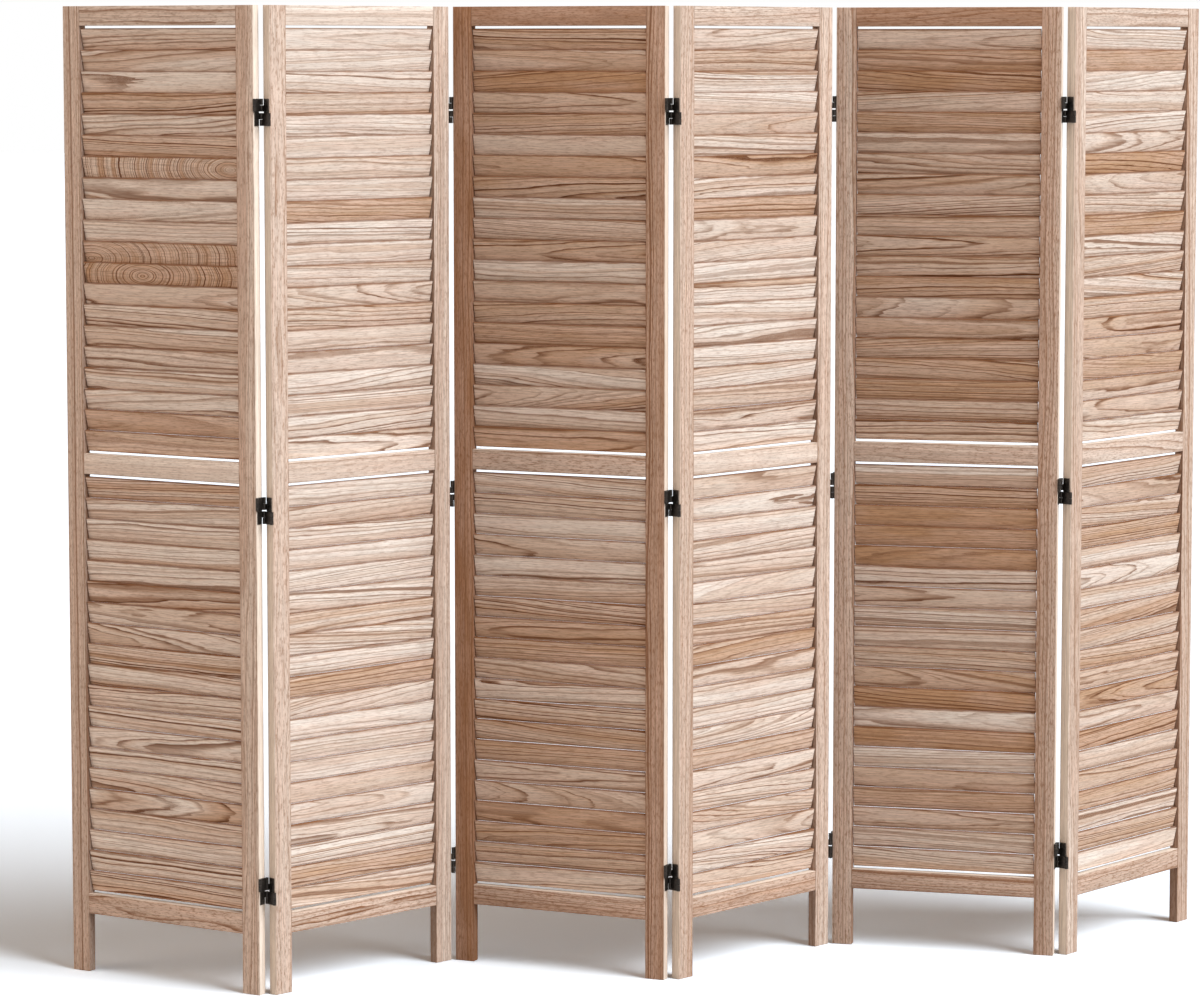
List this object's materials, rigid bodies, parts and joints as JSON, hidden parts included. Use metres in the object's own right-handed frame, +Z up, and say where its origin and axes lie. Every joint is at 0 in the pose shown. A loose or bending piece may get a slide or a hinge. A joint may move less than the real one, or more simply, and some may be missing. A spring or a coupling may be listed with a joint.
{
  "type": "slatted folding room divider",
  "caption": "Zigzag folding wooden screen on its own legs: framed panels of horizontal slats that turn on end pins, joined by black two-way hinges.",
  "frame": {"origin": "under the middle of the standing row's box, on the floor", "axes": "+Z up, +X along the row of panels to the right, the front faces -Y"},
  "size_m": [2.0798, 0.3222, 1.7],
  "materials": {
    "frame_wood": "pale open-grained wood, matt",
    "slat_wood": "pale open-grained wood, matt, grain along the slat",
    "hinge_metal": "dark bronze to black, satin"
  },
  "bodies": {
    "panel_1": {"panel_1_frame": "frame_wood", "panel_1_upper_slats": "slat_wood", "panel_1_lower_slats": "slat_wood", "hinge_1_2_top_left_leaf": "hinge_metal", "hinge_1_2_middle_left_leaf": "hinge_metal", "hinge_1_2_bottom_left_leaf": "hinge_metal"},
    "slat_1_upper": {"panel_1_upper_turning_slat": "slat_wood"},
    "slat_1_lower": {"panel_1_lower_turning_slat": "slat_wood"},
    "panel_2": {"panel_2_frame": "frame_wood", "panel_2_upper_slats": "slat_wood", "panel_2_lower_slats": "slat_wood", "hinge_1_2_top_right_leaf": "hinge_metal", "hinge_1_2_middle_right_leaf": "hinge_metal", "hinge_1_2_bottom_right_leaf": "hinge_metal", "hinge_2_3_top_left_leaf": "hinge_metal", "hinge_2_3_middle_left_leaf": "hinge_metal", "hinge_2_3_bottom_left_leaf": "hinge_metal"},
    "slat_2_upper": {"panel_2_upper_turning_slat": "slat_wood"},
    "slat_2_lower": {"panel_2_lower_turning_slat": "slat_wood"},
    "panel_3": {"panel_3_frame": "frame_wood", "panel_3_upper_slats": "slat_wood", "panel_3_lower_slats": "slat_wood", "hinge_2_3_top_right_leaf": "hinge_metal", "hinge_2_3_middle_right_leaf": "hinge_metal", "hinge_2_3_bottom_right_leaf": "hinge_metal", "hinge_3_4_top_left_leaf": "hinge_metal", "hinge_3_4_middle_left_leaf": "hinge_metal", "hinge_3_4_bottom_left_leaf": "hinge_metal"},
    "slat_3_upper": {"panel_3_upper_turning_slat": "slat_wood"},
    "slat_3_lower": {"panel_3_lower_turning_slat": "slat_wood"},
    "panel_4": {"panel_4_frame": "frame_wood", "panel_4_upper_slats": "slat_wood", "panel_4_lower_slats": "slat_wood", "hinge_3_4_top_right_leaf": "hinge_metal", "hinge_3_4_middle_right_leaf": "hinge_metal", "hinge_3_4_bottom_right_leaf": "hinge_metal", "hinge_4_5_top_left_leaf": "hinge_metal", "hinge_4_5_middle_left_leaf": "hinge_metal", "hinge_4_5_bottom_left_leaf": "hinge_metal"},
    "slat_4_upper": {"panel_4_upper_turning_slat": "slat_wood"},
    "slat_4_lower": {"panel_4_lower_turning_slat": "slat_wood"},
    "panel_5": {"panel_5_frame": "frame_wood", "panel_5_upper_slats": "slat_wood", "panel_5_lower_slats": "slat_wood", "hinge_4_5_top_right_leaf": "hinge_metal", "hinge_4_5_middle_right_leaf": "hinge_metal", "hinge_4_5_bottom_right_leaf": "hinge_metal", "hinge_5_6_top_left_leaf": "hinge_metal", "hinge_5_6_middle_left_leaf": "hinge_metal", "hinge_5_6_bottom_left_leaf": "hinge_metal"},
    "slat_5_upper": {"panel_5_upper_turning_slat": "slat_wood"},
    "slat_5_lower": {"panel_5_lower_turning_slat": "slat_wood"},
    "panel_6": {"panel_6_frame": "frame_wood", "panel_6_upper_slats": "slat_wood", "panel_6_lower_slats": "slat_wood", "hinge_5_6_top_right_leaf": "hinge_metal", "hinge_5_6_middle_right_leaf": "hinge_metal", "hinge_5_6_bottom_right_leaf": "hinge_metal"},
    "slat_6_upper": {"panel_6_upper_turning_slat": "slat_wood"},
    "slat_6_lower": {"panel_6_lower_turning_slat": "slat_wood"}
  },
  "joints": [
    {"name": "fold_2_3", "type": "hinge", "parent": "panel_3", "child": "panel_2", "pos_m": [-0.36687, 0.08454, 0.85], "axis": [0, 0, 1], "range_deg": [-68, 112]},
    {"name": "fold_1_2", "type": "hinge", "parent": "panel_2", "child": "panel_1", "pos_m": [-0.72751, -0.11771, 0.85], "axis": [0, 0, -1], "range_deg": [-75, 105]},
    {"name": "fold_3_4", "type": "hinge", "parent": "panel_3", "child": "panel_4", "pos_m": [-0.02076, -0.14169, 0.85], "axis": [0, 0, 1], "range_deg": [-71, 109]},
    {"name": "fold_4_5", "type": "hinge", "parent": "panel_4", "child": "panel_5", "pos_m": [0.3288, 0.07916, 0.85], "axis": [0, 0, -1], "range_deg": [-62, 118]},
    {"name": "fold_5_6", "type": "hinge", "parent": "panel_5", "child": "panel_6", "pos_m": [0.70603, -0.09014, 0.85], "axis": [0, 0, 1], "range_deg": [-65, 115]},
    {"name": "slat_turn_1_upper", "type": "hinge", "parent": "panel_1", "child": "slat_1_upper", "pos_m": [-0.88548, 0.01565, 1.643], "axis": [0.732, -0.6813, 0], "range_deg": [-10, 143]},
    {"name": "slat_turn_1_lower", "type": "hinge", "parent": "panel_1", "child": "slat_1_lower", "pos_m": [-0.88548, 0.01565, 0.862], "axis": [0.732, -0.6813, 0], "range_deg": [-10, 143]},
    {"name": "slat_turn_2_upper", "type": "hinge", "parent": "panel_2", "child": "slat_2_upper", "pos_m": [-0.54719, -0.01658, 1.643], "axis": [0.8475, 0.5308, 0], "range_deg": [-10, 143]},
    {"name": "slat_turn_2_lower", "type": "hinge", "parent": "panel_2", "child": "slat_2_lower", "pos_m": [-0.54719, -0.01658, 0.862], "axis": [0.8475, 0.5308, 0], "range_deg": [-10, 143]},
    {"name": "slat_turn_3_upper", "type": "hinge", "parent": "panel_3", "child": "slat_3_upper", "pos_m": [-0.19381, -0.02857, 1.643], "axis": [0.8096, -0.587, 0], "range_deg": [-10, 143]},
    {"name": "slat_turn_3_lower", "type": "hinge", "parent": "panel_3", "child": "slat_3_lower", "pos_m": [-0.19381, -0.02857, 0.862], "axis": [0.8096, -0.587, 0], "range_deg": [-10, 143]},
    {"name": "slat_turn_4_upper", "type": "hinge", "parent": "panel_4", "child": "slat_4_upper", "pos_m": [0.15402, -0.03126, 1.643], "axis": [0.8186, 0.5744, 0], "range_deg": [-10, 143]},
    {"name": "slat_turn_4_lower", "type": "hinge", "parent": "panel_4", "child": "slat_4_lower", "pos_m": [0.15402, -0.03126, 0.862], "axis": [0.8186, 0.5744, 0], "range_deg": [-10, 143]},
    {"name": "slat_turn_5_upper", "type": "hinge", "parent": "panel_5", "child": "slat_5_upper", "pos_m": [0.51742, -0.00549, 1.643], "axis": [0.8915, -0.4531, 0], "range_deg": [-10, 143]},
    {"name": "slat_turn_5_lower", "type": "hinge", "parent": "panel_5", "child": "slat_5_lower", "pos_m": [0.51742, -0.00549, 0.862], "axis": [0.8915, -0.4531, 0], "range_deg": [-10, 143]},
    {"name": "slat_turn_6_upper", "type": "hinge", "parent": "panel_6", "child": "slat_6_upper", "pos_m": [0.8748, 0.02928, 1.643], "axis": [0.7874, 0.6164, 0], "range_deg": [-10, 143]},
    {"name": "slat_turn_6_lower", "type": "hinge", "parent": "panel_6", "child": "slat_6_lower", "pos_m": [0.8748, 0.02928, 0.862], "axis": [0.7874, 0.6164, 0], "range_deg": [-10, 143]}
  ]
}
